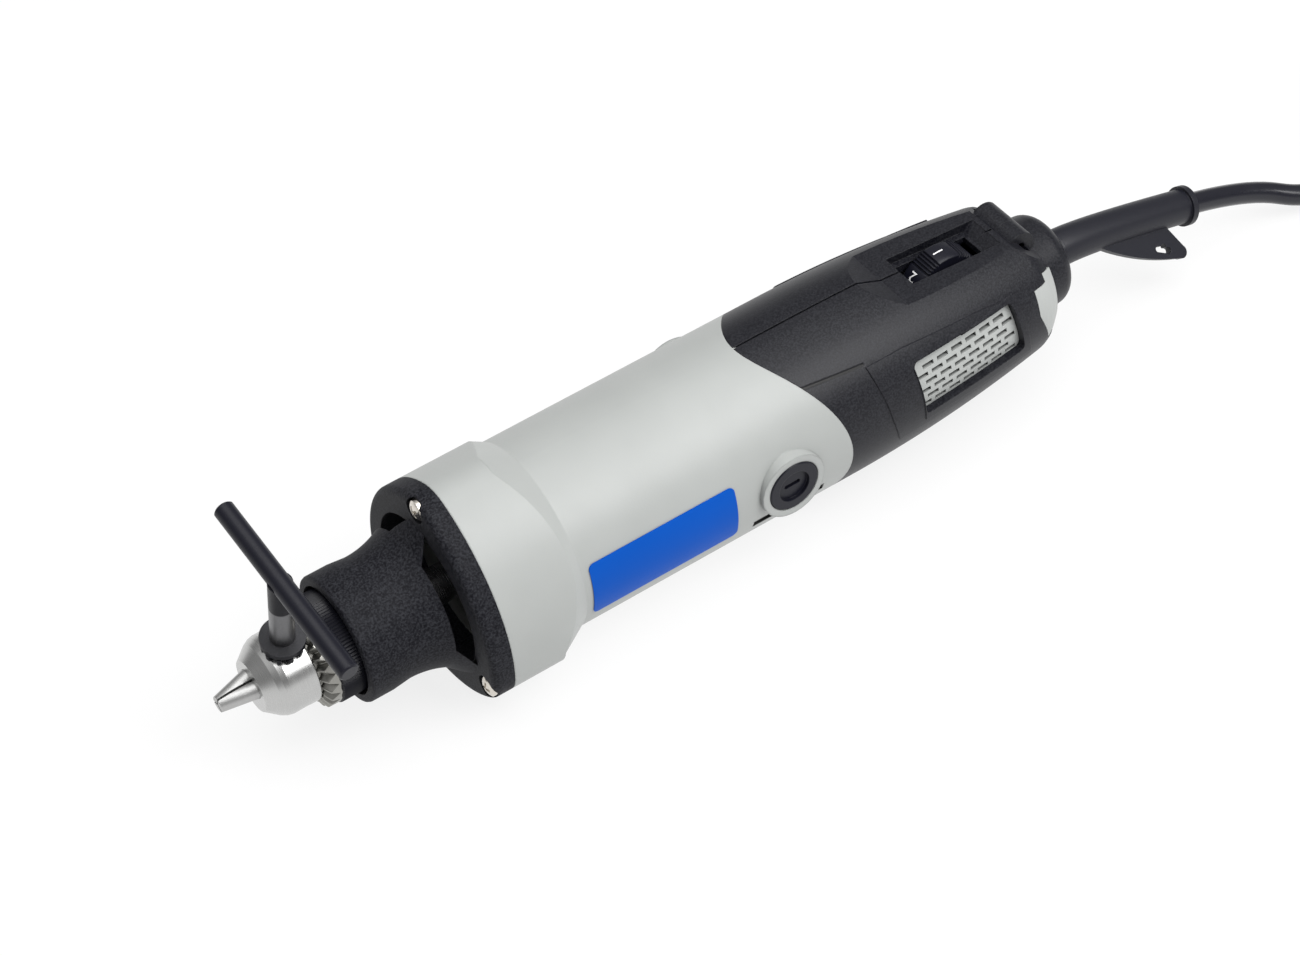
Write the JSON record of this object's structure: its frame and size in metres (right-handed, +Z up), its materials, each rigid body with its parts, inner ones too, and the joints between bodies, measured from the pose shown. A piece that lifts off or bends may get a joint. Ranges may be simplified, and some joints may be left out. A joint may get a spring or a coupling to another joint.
{
  "type": "mini drill",
  "caption": "Hand-held mains drill with a keyed chuck in a slotted nose, lobed collar, round barrel, speed dial, side grilles, boot and coiled cord.",
  "frame": {"origin": "on the spindle axis at the jaw tips", "axes": "+X along the spindle out of the chuck, +Y to the tool's left, +Z up on the dial's side"},
  "size_m": [0.4614, 0.1074, 0.0748],
  "materials": {
    "grey_plastic": "fine grain",
    "black_plastic": "fine grain",
    "rough_black": "coarse grain",
    "label_blue": "satin",
    "chuck_steel": "turned",
    "dark_steel": "oiled",
    "key_black": "black oxide",
    "screw_steel": "bright",
    "shaft_steel": "ground",
    "core_steel": "laminated",
    "copper": "enamelled",
    "inner_plastic": "moulded",
    "brush_brass": "bright",
    "spring_steel": "bright",
    "carbon": "pressed carbon",
    "board": "lacquered",
    "boot_rubber": "moulded",
    "cord_black": "satin"
  },
  "bodies": {
    "housing": {"motor_housing": "grey_plastic", "nose_cone": "rough_black", "nose_screws": "screw_steel", "label_plate": "label_blue", "rear_shell_left": "black_plastic", "rear_shell_right": "black_plastic", "grille_left": "grey_plastic", "grille_right": "grey_plastic", "trim_left": "grey_plastic", "trim_right": "grey_plastic", "shell_screws": "screw_steel", "brush_cap_left": "black_plastic", "brush_cap_right": "black_plastic", "cable_boot": "boot_rubber", "stator_core": "core_steel", "field_coils": "copper", "front_bearing_outer": "shaft_steel", "front_bearing_balls": "shaft_steel", "rear_bearing_outer": "shaft_steel", "rear_bearing_balls": "shaft_steel", "rear_bearing_bracket": "inner_plastic", "brush_holder_left": "brush_brass", "brush_holder_right": "brush_brass", "carbon_brush_left": "carbon", "carbon_brush_right": "carbon", "brush_spring_left": "spring_steel", "brush_spring_right": "spring_steel", "speed_board": "board", "capacitor": "inner_plastic", "triac": "inner_plastic", "potentiometer": "inner_plastic", "terminal_block": "inner_plastic", "cord_clamp": "inner_plastic", "clamp_screws": "screw_steel", "inner_cord": "cord_black", "cord_run": "cord_black", "cord_coil": "cord_black", "cable_tie": "cord_black", "plug_body": "cord_black", "plug_pins": "brush_brass"},
    "rotor": {"armature_shaft": "shaft_steel", "armature_core": "core_steel", "armature_windings": "copper", "commutator": "copper", "cooling_fan": "inner_plastic", "front_bearing_inner": "shaft_steel", "rear_bearing_inner": "shaft_steel", "chuck_body": "chuck_steel"},
    "sleeve": {"chuck_sleeve": "dark_steel"},
    "jaw_one": {"jaw_1": "chuck_steel"},
    "jaw_two": {"jaw_2": "chuck_steel"},
    "jaw_three": {"jaw_3": "chuck_steel"},
    "key_pin": {"key_pilot": "key_black"},
    "key": {"key_shaft": "key_black", "key_handle": "key_black"},
    "dial": {"speed_dial": "black_plastic", "dial_shaft": "shaft_steel"}
  },
  "joints": [
    {"name": "spindle_spin", "type": "hinge", "parent": "housing", "child": "rotor", "pos_m": [0, 0, 0], "axis": [1, 0, 0], "continuous": true},
    {"name": "sleeve_turn", "type": "hinge", "parent": "rotor", "child": "sleeve", "pos_m": [-0.03, 0, 0], "axis": [1, 0, 0], "range_deg": [-324, 2052]},
    {"name": "jaw_1_slide", "type": "slide", "parent": "rotor", "child": "jaw_one", "axis": [-0.9659, 0.2482, 0.0735], "range_m": [-0.00092, 0.00572]},
    {"name": "jaw_2_slide", "type": "slide", "parent": "rotor", "child": "jaw_two", "axis": [-0.9659, -0.1877, 0.1782], "range_m": [-0.00092, 0.00572]},
    {"name": "jaw_3_slide", "type": "slide", "parent": "rotor", "child": "jaw_three", "axis": [-0.9659, -0.0604, -0.2517], "range_m": [-0.00092, 0.00572]},
    {"name": "key_lift", "type": "slide", "parent": "rotor", "child": "key_pin", "axis": [0, 0.2334, 0.9724], "range_m": [0, 0.02]},
    {"name": "key_turn", "type": "hinge", "parent": "key_pin", "child": "key", "pos_m": [-0.0185, 0, 0], "axis": [0, 0.2334, 0.9724], "range_deg": [-740, 4670]},
    {"name": "dial_turn", "type": "hinge", "parent": "housing", "child": "dial", "pos_m": [-0.2187, 0, 0.0105], "axis": [0, 1, 0], "range_deg": [-250, 40]}
  ],
  "couplings": [
    {"joint": "jaw_1_slide", "follows": "sleeve_turn", "m_per_rad": 0.00015915},
    {"joint": "jaw_2_slide", "follows": "sleeve_turn", "m_per_rad": 0.00015915},
    {"joint": "jaw_3_slide", "follows": "sleeve_turn", "m_per_rad": 0.00015915},
    {"joint": "key_turn", "follows": "sleeve_turn", "ratio": 2.2727}
  ]
}
